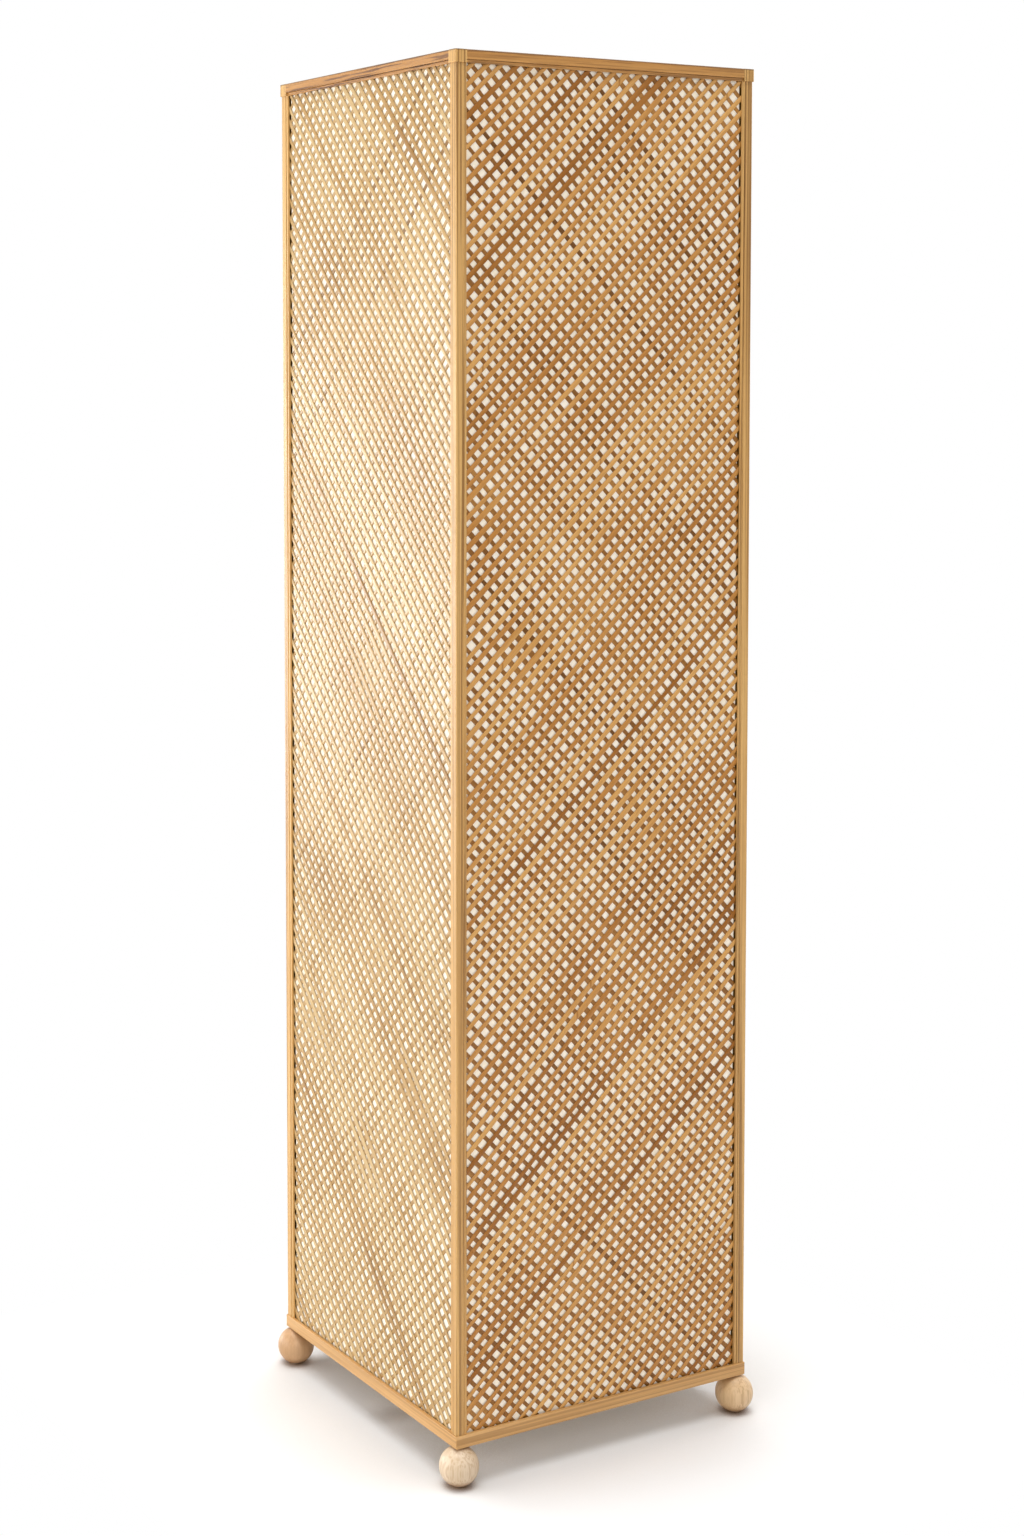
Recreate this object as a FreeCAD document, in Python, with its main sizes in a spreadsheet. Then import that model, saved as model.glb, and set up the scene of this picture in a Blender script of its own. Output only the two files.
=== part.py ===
import FreeCAD, Part

import math
import os
import re

import Sketcher
from FreeCAD import Placement, Rotation, Vector

# Andon floor lamp: four rabbeted posts between a mitred bottom ring and a top ring with corner
# blocks, crossed bamboo slats over a paper liner on each side, ball feet, and a lampholder on a
# bar across the bottom. Millimetres, +Z up, origin on the floor under the middle of the lamp.
# Every side is drawn as the front one (outward normal -Y) and turned about Z into its place.

SIZES = {
    # frame
    "total_height": 1200.0,
    "ring_side": 306.0,
    "ring_proud": 1.0,
    "ring_depth": 11.0,
    "bottom_ring_height": 10.8,
    "top_ring_height": 10.8,
    "top_rail_face": 8.0,
    "block_past_post": 2.4,
    "post_side": 14.0,
    "arris_radius": 1.0,
    "edge_ease": 0.4,
    # panels
    "bead_width": 3.0,
    "bead_thick": 1.8,
    "bead_recess": 0.6,
    "slat_width": 3.9,
    "slat_thick": 0.7,
    "slat_pitch": 9.3,
    "front_outer_angle": 42.5,
    "front_inner_angle": -45.5,
    "side_outer_angle": -46.5,
    "side_inner_angle": 44.5,
    "liner_thick": 0.3,
    "panel_gap": 0.2,
    "panel_groove_depth": 2.0,
    # feet
    "foot_height": 34.6,
    "ball_radius": 17.0,
    "foot_neck_radius": 4.5,
    "pad_thick": 0.8,
    "pad_margin": 0.4,
    "foot_screw_radius": 1.6,
    "foot_screw_in_foot": 16.0,
    "foot_screw_in_post": 18.0,
    # dowels of the top ring
    "dowel_radius": 1.5,
    "dowel_in_block": 3.5,
    "dowel_in_member": 10.0,
    "pin_clearance": 0.05,
    # bar that carries the lampholder
    "bar_width": 26.0,
    "bar_height": 10.0,
    "bar_end_gap": 0.6,
    "bar_screw_radius": 1.1,
    "bar_screw_head_radius": 2.1,
    "bar_screw_head_height": 1.2,
    "bar_screw_in_rail": 6.0,
    "bar_screw_spacing": 14.0,
    # cord inlet and lampholder
    "inlet_radius": 5.0,
    "inlet_bore_radius": 3.75,
    "inlet_below_bar": 7.0,
    "inlet_above_bar": 8.0,
    "nut_across_flats": 14.0,
    "nut_height": 3.0,
    "holder_shell_gap": 3.7,
    "holder_wall": 2.0,
    "holder_cap_height": 18.0,
    "holder_chamfer": 3.0,
    "holder_sleeve_height": 34.0,
    "holder_lip_gap": 1.4,
    "holder_lip_height": 2.0,
    "insert_thick": 9.0,
    "insert_gap": 0.2,
    "shell_wall": 0.3,
    "shell_gap": 0.3,
    "spring_contact_radius": 3.0,
    "spring_contact_height": 2.5,
    # bulb
    "bulb_cap_radius": 13.2,
    "bulb_cap_height": 22.0,
    "bulb_cap_wall": 0.4,
    "bulb_insulator_height": 3.0,
    "bulb_contact_radius": 4.8,
    "bulb_contact_height": 1.2,
    "bulb_contact_gap": 0.3,
    "bulb_radius": 30.0,
    "bulb_cement_gap": 0.2,
    "bulb_neck_height": 7.0,
    "bulb_flare_radius": 36.0,
    "bulb_glass_thick": 1.0,
    # reach of every cut past the face that it leaves through
    "overrun": 1.0,
}

# Places worked out from the sizes above.
PLACES = {
    "half_post": "ring_side / 2 - ring_proud",
    "half_ring": "ring_side / 2",
    "ring_inner": "ring_depth - ring_proud",
    "post_face": "ring_inner - block_past_post",
    "mitre_share": "1 - sqrt(0.5)",
    "rail_top": "foot_height + bottom_ring_height",
    "top_ring_low": "total_height - top_ring_height",
    "top_lip_low": "total_height - top_rail_face",
    "bead_back": "bead_recess + bead_thick",
    "inner_slat_front": "bead_back + slat_thick",
    "liner_front": "inner_slat_front + slat_thick",
    "rabbet_depth": "liner_front + liner_thick",
    "panel_half_width": "half_post - post_face - panel_gap",
    "panel_low": "rail_top - panel_groove_depth + panel_gap",
    "panel_high": "top_lip_low - panel_gap",
    "notch_half_width": "half_post - ring_inner - panel_gap",
    "notch_low": "top_ring_low - panel_gap",
    "groove_front": "bead_back - panel_gap",
    "groove_back": "rabbet_depth + panel_gap",
    "post_core": "(post_face + rabbet_depth) / 2",
    "core_from_middle": "half_post - post_core",
    "dowel_height": "total_height - top_rail_face / 2",
    "dowel_depth": "(ring_inner - ring_proud) / 2",
    "dowel_hole_radius": "dowel_radius + pin_clearance",
    "foot_hole_radius": "foot_screw_radius + pin_clearance",
    "pad_radius": "sqrt(ball_radius ^ 2 - (ball_radius - pad_thick) ^ 2) - pad_margin",
    "neck_low": "ball_radius + sqrt(ball_radius ^ 2 - foot_neck_radius ^ 2)",
    "bar_top": "rail_top + bar_height",
    "bar_half_length": "half_post - rabbet_depth - bar_end_gap",
    "bar_screw_from_middle": "bar_half_length - bar_screw_head_radius - edge_ease",
    "bar_screw_hole_radius": "bar_screw_radius + pin_clearance",
    "inlet_hole_radius": "inlet_radius + pin_clearance",
    "inlet_low": "rail_top - inlet_below_bar",
    "holder_cap_top": "bar_top + holder_cap_height",
    "holder_top": "holder_cap_top + holder_sleeve_height",
    "insert_top": "holder_cap_top + insert_thick",
    "shell_inner": "bulb_cap_radius + shell_gap",
    "shell_outer": "shell_inner + shell_wall",
    "holder_lip_radius": "shell_outer + holder_lip_gap",
    "holder_inner": "shell_outer + holder_shell_gap",
    "holder_radius": "holder_inner + holder_wall",
    "spring_contact_top": "insert_top + spring_contact_height",
    "bulb_low": "spring_contact_top + bulb_contact_gap",
    "bulb_insulator_low": "bulb_low + bulb_contact_height",
    "bulb_cap_low": "bulb_insulator_low + bulb_insulator_height",
    "bulb_cap_top": "bulb_cap_low + bulb_cap_height",
    "bulb_neck_radius": "bulb_cap_radius - bulb_cap_wall - bulb_cement_gap",
    "bulb_flare_low": "bulb_cap_top + bulb_neck_height",
    "bulb_flare_reach": "bulb_neck_radius + bulb_flare_radius",
    "bulb_middle": "bulb_flare_low + sqrt((bulb_radius + bulb_flare_radius) ^ 2 - bulb_flare_reach ^ 2)",
    "bulb_joint_share": "bulb_radius / (bulb_radius + bulb_flare_radius)",
}

CORNERS = {"front_left": (-1, -1), "front_right": (1, -1), "back_right": (1, 1), "back_left": (-1, 1)}
SIDES = ("front", "right", "back", "left")
QUARTER_TURN = 90.0
X, Y, Z = range(3)
TOUCHING = 1e-4

doc = FreeCAD.newDocument("andon_floor_lamp")
sheet = doc.addObject("Spreadsheet::Sheet", "Sizes")
for row, (alias, size) in enumerate(SIZES.items(), start=1):
    sheet.set(f"A{row}", alias.replace("_", " "))
    sheet.set(f"B{row}", str(size))
    sheet.setAlias(f"B{row}", alias)
doc.recompute()


def bound(text):
    """The text as an expression: sizes point at their cells, and places are written out."""
    def cell(found):
        word = found.group(0)
        if word in SIZES:
            return f"Sizes.{word}"
        return f"({bound(PLACES[word])})" if word in PLACES else word
    return re.sub(r"[a-z]\w*", cell, text)


def value(text):
    return float(sheet.evalExpression(bound(text)))


def new_body(name, turns=0):
    """A body with the node's name, turned about Z by quarter turns."""
    body = doc.addObject("PartDesign::Body", name)
    body.Label = name
    body.AllowCompound = True
    body.Placement = Placement(Vector(), Rotation(Vector(0, 0, 1), turns * QUARTER_TURN))
    return body


def origin_part(body, role):
    return next(item for item in body.Origin.OriginFeatures if item.Role == role)


def new_sketch(body, name, role, offset="0"):
    sketch = body.newObject("Sketcher::SketchObject", name)
    sketch.AttachmentSupport = [(origin_part(body, role), "")]
    sketch.MapMode = "FlatFace"
    sketch.setExpression(".AttachmentOffset.Base.z", bound(offset))
    return sketch


def bind(sketch, kind, geometry, point, text):
    """Hold one coordinate of a point at the distance that the text gives from the sketch's origin."""
    index = sketch.addConstraint(Sketcher.Constraint(kind, -1, 1, geometry, point, value(text)))
    sketch.setExpression(f"Constraints[{index}]", bound(text))


def add_outline(sketch, points):
    """A closed outline. A point is (x, y), or (x, y, centre x, centre y, turn) where an arc leaves it."""
    first = sketch.GeometryCount
    spots = [Vector(value(point[0]), value(point[1]), 0) for point in points]
    ends = []
    for index, point in enumerate(points):
        start, end = spots[index], spots[(index + 1) % len(points)]
        if len(point) == 2:
            sketch.addGeometry(Part.LineSegment(start, end))
            ends.append((1, 2))
            continue
        centre = Vector(value(point[2]), value(point[3]), 0)
        turn = point[4]
        low, high = (start, end) if turn > 0 else (end, start)
        angles = [math.atan2(spot.y - centre.y, spot.x - centre.x) for spot in (low, high)]
        circle = Part.Circle(centre, Vector(0, 0, 1), start.distanceToPoint(centre))
        sketch.addGeometry(Part.ArcOfCircle(circle, angles[0], angles[1]))
        ends.append((1, 2) if turn > 0 else (2, 1))
        steep = abs(end.y - start.y) > abs(end.x - start.x)
        kind, place = ("DistanceX", point[2]) if steep else ("DistanceY", point[3])
        bind(sketch, kind, first + index, 3, place)
    for index, point in enumerate(points):
        following = (index + 1) % len(points)
        sketch.addConstraint(Sketcher.Constraint(
            "Coincident", first + index, ends[index][1], first + following, ends[following][0]))
        bind(sketch, "DistanceX", first + index, ends[index][0], point[0])
        bind(sketch, "DistanceY", first + index, ends[index][0], point[1])


def add_rectangle(sketch, low_x, low_y, high_x, high_y):
    add_outline(sketch, [(low_x, low_y), (high_x, low_y), (high_x, high_y), (low_x, high_y)])


def add_circle(sketch, x, y, radius):
    index = sketch.addGeometry(Part.Circle(Vector(value(x), value(y), 0), Vector(0, 0, 1), value(radius)))
    bind(sketch, "DistanceX", index, 3, x)
    bind(sketch, "DistanceY", index, 3, y)
    size = sketch.addConstraint(Sketcher.Constraint("Radius", index, value(radius)))
    sketch.setExpression(f"Constraints[{size}]", bound(radius))


def finish_feature(body, feature, cuts=False):
    """Rebuild, and see that a cut took something away."""
    before = body.Shape.Volume if cuts else 0.0
    body.Tip = feature
    doc.recompute()
    if cuts and not feature.Shape.Volume < before:
        raise RuntimeError(f"{body.Label}: {feature.Name} cuts nothing")
    return feature


def pad(body, sketch, length, backwards=False, both_ways=False):
    feature = body.newObject("PartDesign::Pad", "Pad")
    feature.Profile = sketch
    feature.Reversed = backwards
    feature.SideType = "Symmetric" if both_ways else "One side"
    feature.setExpression("Length", bound(length))
    return finish_feature(body, feature)


def pocket(body, sketch, depth, backwards=False):
    feature = body.newObject("PartDesign::Pocket", "Pocket")
    feature.Profile = sketch
    feature.Reversed = backwards
    feature.setExpression("Length", bound(depth))
    return finish_feature(body, feature, cuts=True)


def turn_profile(body, points, name="profile", middle_x="0", middle_y="0"):
    """Revolve an outline (radius, height) about an upright axis through the given place."""
    sketch = new_sketch(body, name, "XZ_Plane", f"-({middle_y})")
    sketch.setExpression(".AttachmentOffset.Base.x", bound(middle_x))
    add_outline(sketch, points)
    feature = body.newObject("PartDesign::Revolution", "Revolution")
    feature.Profile = sketch
    feature.ReferenceAxis = (sketch, ["V_Axis"])
    return finish_feature(body, feature)


def soften(body, kind, size, wanted):
    """Fillet or chamfer the edges whose two ends pass the test."""
    base = body.Tip
    names = [
        f"Edge{index}" for index, edge in enumerate(base.Shape.Edges, start=1)
        if len(edge.Vertexes) == 2 and wanted(*[vertex.Point for vertex in edge.Vertexes])
    ]
    if not names:
        raise RuntimeError(f"{body.Label}: no edge to soften")
    feature = body.newObject(f"PartDesign::{kind}", kind)
    feature.Base = (base, names)
    feature.setExpression("Radius" if kind == "Fillet" else "Size", bound(size))
    return finish_feature(body, feature)


def both_on(axis, place):
    """A test that both ends of an edge lie at the place along the axis."""
    return lambda start, end: max(abs(start[axis] - place), abs(end[axis] - place)) < TOUCHING


def all_of(*tests):
    return lambda start, end: all(test(start, end) for test in tests)


def upright(start, end):
    return abs(start.z - end.z) > TOUCHING


def level(start, end):
    return not upright(start, end)


def make_post(name, turns):
    """Square post with a rabbet for the panel on each of its two outer faces."""
    body = new_body(name, turns)
    section = new_sketch(body, "section", "XY_Plane", "rail_top")
    across = [
        ("0", "0"), ("post_face - edge_ease", "0"), ("post_face", "edge_ease"),
        ("post_face", "rabbet_depth"), ("post_side", "rabbet_depth"), ("post_side", "post_side"),
        ("rabbet_depth", "post_side"), ("rabbet_depth", "post_face"), ("edge_ease", "post_face"),
        ("0", "post_face - edge_ease"),
    ]
    add_outline(section, [(f"{x} - half_post", f"{y} - half_post") for x, y in across])
    pad(body, section, "top_ring_low - rail_top")
    face = -value("half_post")
    soften(body, "Fillet", "arris_radius", all_of(both_on(X, face), both_on(Y, face)))
    for end, depth, backwards, height in (
        ("foot", "foot_screw_in_post", True, "rail_top"),
        ("block", "dowel_in_member", False, "top_ring_low"),
    ):
        hole = new_sketch(body, f"{end}_hole", "XY_Plane", height)
        radius = "foot_hole_radius" if end == "foot" else "dowel_hole_radius"
        add_circle(hole, "-core_from_middle", "-core_from_middle", radius)
        pocket(body, hole, f"{depth} + pin_clearance", backwards)


def make_corner_block(name, turns):
    """Upright-grained block on a post's end, between two top rails, with its three dowel holes."""
    body = new_body(name, turns)
    plan = new_sketch(body, "plan", "XY_Plane", "top_ring_low")
    add_rectangle(plan, "-half_ring", "-half_ring", "ring_depth - half_ring", "ring_depth - half_ring")
    pad(body, plan, "top_ring_height")
    face, top = -value("half_ring"), value("total_height")
    soften(body, "Fillet", "arris_radius", all_of(both_on(X, face), both_on(Y, face)))
    soften(body, "Chamfer", "edge_ease", both_on(Z, top))
    below = new_sketch(body, "post_dowel_hole", "XY_Plane", "top_ring_low")
    add_circle(below, "-core_from_middle", "-core_from_middle", "dowel_hole_radius")
    pocket(body, below, "dowel_in_block + pin_clearance", backwards=True)
    beside = new_sketch(body, "front_dowel_hole", "YZ_Plane", "ring_inner - half_post")
    add_circle(beside, "dowel_depth - half_post", "dowel_height", "dowel_hole_radius")
    pocket(body, beside, "dowel_in_block + pin_clearance")
    behind = new_sketch(body, "side_dowel_hole", "XZ_Plane", "half_post - ring_inner")
    add_circle(behind, "dowel_depth - half_post", "dowel_height", "dowel_hole_radius")
    pocket(body, behind, "dowel_in_block + pin_clearance", backwards=True)


def make_top_rail(name, turns):
    """Rail between two corner blocks, rabbeted below its face for the panel and its bead."""
    body = new_body(name, turns)
    section = new_sketch(body, "section", "YZ_Plane")
    across = [
        ("-ring_proud", "total_height"), ("-ring_proud", "top_lip_low + edge_ease"),
        ("edge_ease - ring_proud", "top_lip_low"), ("rabbet_depth", "top_lip_low"),
        ("rabbet_depth", "top_ring_low"), ("ring_inner", "top_ring_low"), ("ring_inner", "total_height"),
    ]
    add_outline(section, [(f"{depth} - half_post", height) for depth, height in across])
    pad(body, section, "2 * (half_post - ring_inner)", both_ways=True)
    face, top = -value("half_ring"), value("total_height")
    soften(body, "Fillet", "arris_radius", all_of(both_on(Y, face), both_on(Z, top)))
    for end, hand in (("left", "-1"), ("right", "1")):
        hole = new_sketch(body, f"{end}_dowel_hole", "YZ_Plane", f"{hand} * (half_post - ring_inner)")
        add_circle(hole, "dowel_depth - half_post", "dowel_height", "dowel_hole_radius")
        pocket(body, hole, "dowel_in_member + pin_clearance", backwards=hand == "-1")


def make_bottom_rail(name, turns, carries_bar):
    """Mitred rail with a groove for the panel's foot, and holes for what is screwed through it."""
    body = new_body(name, turns)
    plan = new_sketch(body, "plan", "XY_Plane", "foot_height")
    mitre, straight = "half_ring - arris_radius * mitre_share", "half_ring - arris_radius"
    add_outline(plan, [
        (f"-({mitre})", f"-({mitre})", f"-({straight})", f"-({straight})", 1),
        (f"-({straight})", "-half_ring"),
        (straight, "-half_ring", straight, f"-({straight})", 1), (mitre, f"-({mitre})"),
        ("half_ring - ring_depth", "ring_depth - half_ring"),
        ("ring_depth - half_ring", "ring_depth - half_ring"),
    ])
    pad(body, plan, "bottom_ring_height")
    soften(body, "Fillet", "edge_ease", all_of(both_on(Y, -value("half_ring")), level))
    groove = new_sketch(body, "panel_groove", "XY_Plane", "rail_top")
    add_rectangle(groove, "post_face - half_post", "groove_front - half_post",
                  "half_post - post_face", "groove_back - half_post")
    pocket(body, groove, "panel_groove_depth")
    foot_holes = new_sketch(body, "foot_screw_holes", "XY_Plane", "rail_top + overrun")
    for x in ("-core_from_middle", "core_from_middle"):
        add_circle(foot_holes, x, "-core_from_middle", "foot_hole_radius")
    pocket(body, foot_holes, "bottom_ring_height + 2 * overrun")
    if carries_bar:
        bar_holes = new_sketch(body, "bar_screw_holes", "XY_Plane", "rail_top")
        for x in ("-bar_screw_spacing / 2", "bar_screw_spacing / 2"):
            add_circle(bar_holes, x, "-bar_screw_from_middle", "bar_screw_hole_radius")
        pocket(body, bar_holes, "bar_screw_in_rail + pin_clearance")


def make_side_bead(name, turns, hand):
    """Upright strip that holds the panel in a post's rabbet, with its front edges eased."""
    body = new_body(name, turns)
    section = new_sketch(body, "section", "XY_Plane", "rail_top")
    across = [
        ("post_face", "bead_back"), ("post_face", "bead_recess + edge_ease"),
        ("post_face + edge_ease", "bead_recess"), ("post_face + bead_width - edge_ease", "bead_recess"),
        ("post_face + bead_width", "bead_recess + edge_ease"), ("post_face + bead_width", "bead_back"),
    ]
    add_outline(section, [(f"{hand} * ({x} - half_post)", f"{depth} - half_post") for x, depth in across])
    pad(body, section, "top_ring_low - rail_top")


def make_top_bead(name, turns):
    """Strip that holds the panel under the top rail's lip, from block to block."""
    body = new_body(name, turns)
    section = new_sketch(body, "section", "YZ_Plane")
    across = [
        ("bead_back", "top_lip_low"), ("bead_recess + edge_ease", "top_lip_low"),
        ("bead_recess", "top_lip_low - edge_ease"), ("bead_recess", "top_ring_low + edge_ease"),
        ("bead_recess + edge_ease", "top_ring_low"), ("bead_back", "top_ring_low"),
    ]
    add_outline(section, [(f"{depth} - half_post", height) for depth, height in across])
    pad(body, section, "2 * (half_post - ring_inner)", both_ways=True)


def panel_outline():
    """The panel's outline on its own plane, stepped in at the top to pass between the blocks."""
    half = [
        ("panel_half_width", "panel_low"), ("panel_half_width", "notch_low"),
        ("notch_half_width", "notch_low"), ("notch_half_width", "panel_high"),
    ]
    return half + [(f"-({x})", height) for x, height in reversed(half)]


def make_liner(name, turns):
    """Paper sheet behind the slats, flat against the posts and rails."""
    body = new_body(name, turns)
    outline = new_sketch(body, "outline", "XZ_Plane", "half_post - liner_front")
    add_outline(outline, panel_outline())
    pad(body, outline, "liner_thick", backwards=True)


def make_slats(name, turns, front, angle):
    """One layer of parallel slats, each cut to the panel's outline; the angle is its rise to the right."""
    plane_y, thick = value(f"{front} - half_post"), value("slat_thick")

    def plate(spots):
        corners = [Vector(x, plane_y, height) for x, height in spots]
        return Part.Face(Part.makePolygon(corners + corners[:1])).extrude(Vector(0, thick, 0))

    panel = plate([(value(x), value(height)) for x, height in panel_outline()])
    half_width, low, notch = value("panel_half_width"), value("panel_low"), value("notch_low")
    slope = math.tan(math.radians(value(angle)))
    rise = slope * half_width
    upright_width = value("slat_width") * math.hypot(1, slope)
    upright_pitch = value("slat_pitch") * math.hypot(1, slope)
    first = low - abs(rise) - upright_width
    count = math.ceil((value("panel_high") + abs(rise) - first) / upright_pitch)
    slats = []
    for index in range(count):
        height = first + index * upright_pitch
        strip = plate([
            (-half_width, height - rise), (half_width, height + rise),
            (half_width, height + rise + upright_width), (-half_width, height - rise + upright_width),
        ])
        whole = height - abs(rise) > low and height + abs(rise) + upright_width < notch
        slats.extend([strip] if whole else strip.common(panel).Solids)
    layer = doc.addObject("Part::Feature", name)
    layer.Label = name
    layer.Shape = Part.makeCompound(slats)
    layer.Placement = Placement(Vector(), Rotation(Vector(0, 0, 1), turns * QUARTER_TURN))


def make_foot(name, hand_x, hand_y):
    """Turned ball with a short neck, cut flat below for its pad and drilled from above."""
    body = new_body(name)
    turn_profile(body, [
        ("0", "pad_thick"), ("pad_radius + pad_margin", "pad_thick", "0", "ball_radius", 1),
        ("foot_neck_radius", "neck_low"), ("foot_neck_radius", "foot_height"), ("0", "foot_height"),
    ])
    hole = new_sketch(body, "screw_hole", "XY_Plane", "foot_height")
    add_circle(hole, "0", "0", "foot_hole_radius")
    pocket(body, hole, "foot_screw_in_foot + pin_clearance")
    body.setExpression(".Placement.Base.x", bound(f"{hand_x} * core_from_middle"))
    body.setExpression(".Placement.Base.y", bound(f"{hand_y} * core_from_middle"))
    doc.recompute()


def make_corner_pins(name, radius, low, high):
    """Four upright round pieces, one on each corner's axis."""
    body = new_body(name)
    plan = new_sketch(body, "plan", "XY_Plane", low)
    for x in ("-core_from_middle", "core_from_middle"):
        for y in ("-core_from_middle", "core_from_middle"):
            add_circle(plan, x, y, radius)
    pad(body, plan, f"{high} - ({low})")


def make_ring_dowels():
    """Twelve like dowels: each corner block's into its post and into the two rails beside it."""
    body = new_body("ring_dowels")
    length = "dowel_in_block + dowel_in_member"
    down = new_sketch(body, "post_dowel", "XY_Plane", "top_ring_low + dowel_in_block")
    add_circle(down, "-core_from_middle", "-core_from_middle", "dowel_radius")
    originals = [pad(body, down, length, backwards=True)]
    for hand in ("-1", "1"):
        outer_end = f"{hand} * (half_post - ring_inner + dowel_in_block)"
        across = new_sketch(body, "rail_dowel", "YZ_Plane", outer_end)
        add_circle(across, "dowel_depth - half_post", "dowel_height", "dowel_radius")
        originals.append(pad(body, across, length, backwards=hand == "1"))
    ring = body.newObject("PartDesign::PolarPattern", "around")
    ring.Originals = originals
    ring.Axis = (origin_part(body, "Z_Axis"), [""])
    ring.Angle = len(SIDES) * QUARTER_TURN
    ring.Occurrences = len(SIDES)
    finish_feature(body, ring)


def make_lampholder_bar():
    """Wooden bar across the bottom ring, drilled for the cord inlet and countersunk for its screws."""
    body = new_body("lampholder_bar")
    plan = new_sketch(body, "plan", "XY_Plane", "rail_top")
    add_rectangle(plan, "-bar_half_length", "-bar_width / 2", "bar_half_length", "bar_width / 2")
    pad(body, plan, "bar_height")
    soften(body, "Chamfer", "edge_ease", both_on(Z, value("bar_top")))
    holes = new_sketch(body, "holes", "XY_Plane", "bar_top + overrun")
    add_circle(holes, "0", "0", "inlet_hole_radius")
    for x in ("-bar_screw_from_middle", "bar_screw_from_middle"):
        for y in ("-bar_screw_spacing / 2", "bar_screw_spacing / 2"):
            add_circle(holes, x, y, "bar_screw_hole_radius")
    pocket(body, holes, "bar_height + 2 * overrun")
    for x in ("-bar_screw_from_middle", "bar_screw_from_middle"):
        for y in ("-bar_screw_spacing / 2", "bar_screw_spacing / 2"):
            sketch = new_sketch(body, "countersink", "XZ_Plane", f"-({y})")
            sketch.setExpression(".AttachmentOffset.Base.x", bound(x))
            add_outline(sketch, [
                ("0", "bar_top"), ("bar_screw_head_radius + pin_clearance", "bar_top"),
                ("bar_screw_hole_radius", "bar_top - bar_screw_head_height"),
                ("0", "bar_top - bar_screw_head_height"),
            ])
            sink = body.newObject("PartDesign::Groove", "Groove")
            sink.Profile = sketch
            sink.ReferenceAxis = (sketch, ["V_Axis"])
            finish_feature(body, sink, cuts=True)


def make_bar_screws():
    """Countersunk wood screws that hold the bar to the side rails."""
    body = new_body("bar_screws")
    for x in ("-bar_screw_from_middle", "bar_screw_from_middle"):
        for y in ("-bar_screw_spacing / 2", "bar_screw_spacing / 2"):
            turn_profile(body, [
                ("0", "rail_top - bar_screw_in_rail"), ("bar_screw_radius", "rail_top - bar_screw_in_rail"),
                ("bar_screw_radius", "bar_top - bar_screw_head_height"),
                ("bar_screw_head_radius", "bar_top"), ("0", "bar_top"),
            ], "screw_profile", x, y)


def make_inlet():
    """Threaded tube that brings the cord up through the bar, and the nut that clamps it below."""
    tube = new_body("cord_inlet_tube")
    turn_profile(tube, [
        ("inlet_bore_radius", "inlet_low"), ("inlet_radius", "inlet_low"),
        ("inlet_radius", "bar_top + inlet_above_bar"), ("inlet_bore_radius", "bar_top + inlet_above_bar"),
    ])
    nut = new_body("cord_inlet_nut")
    plan = new_sketch(nut, "plan", "XY_Plane", "rail_top - nut_height")
    flat, corner = "nut_across_flats / 2", "nut_across_flats / sqrt(3)"
    add_outline(plan, [
        (corner, "0"), (f"{corner} / 2", flat), (f"-{corner} / 2", flat),
        (f"-{corner}", "0"), (f"-{corner} / 2", f"-{flat}"), (f"{corner} / 2", f"-{flat}"),
    ])
    add_circle(plan, "0", "0", "inlet_hole_radius")
    pad(nut, plan, "nut_height")


def make_lampholder():
    """Screw lampholder: a cap on the inlet tube, a sleeve, a ceramic insert and its two contacts."""
    turn_profile(new_body("lampholder_cap"), [
        ("inlet_hole_radius", "bar_top"), ("holder_radius - holder_chamfer", "bar_top"),
        ("holder_radius", "bar_top + holder_chamfer"), ("holder_radius", "holder_cap_top"),
        ("holder_inner", "holder_cap_top"), ("holder_inner", "bar_top + holder_chamfer + holder_wall"),
        ("holder_inner - holder_chamfer", "bar_top + holder_wall"),
        ("inlet_hole_radius", "bar_top + holder_wall"),
    ])
    turn_profile(new_body("lampholder_sleeve"), [
        ("holder_inner", "holder_cap_top"), ("holder_radius", "holder_cap_top"),
        ("holder_radius", "holder_top"), ("holder_lip_radius", "holder_top"),
        ("holder_lip_radius", "holder_top - holder_lip_height"),
        ("holder_inner", "holder_top - holder_lip_height"),
    ])
    turn_profile(new_body("lampholder_insert"), [
        ("0", "holder_cap_top"), ("holder_inner - insert_gap", "holder_cap_top"),
        ("holder_inner - insert_gap", "insert_top"), ("0", "insert_top"),
    ])
    turn_profile(new_body("lampholder_screw_shell"), [
        ("shell_inner", "insert_top"), ("shell_outer", "insert_top"),
        ("shell_outer", "holder_top - holder_lip_height"),
        ("shell_inner", "holder_top - holder_lip_height"),
    ])
    turn_profile(new_body("lampholder_centre_contact"), [
        ("0", "insert_top"), ("spring_contact_radius", "insert_top"),
        ("spring_contact_radius", "spring_contact_top"), ("0", "spring_contact_top"),
    ])


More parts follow.
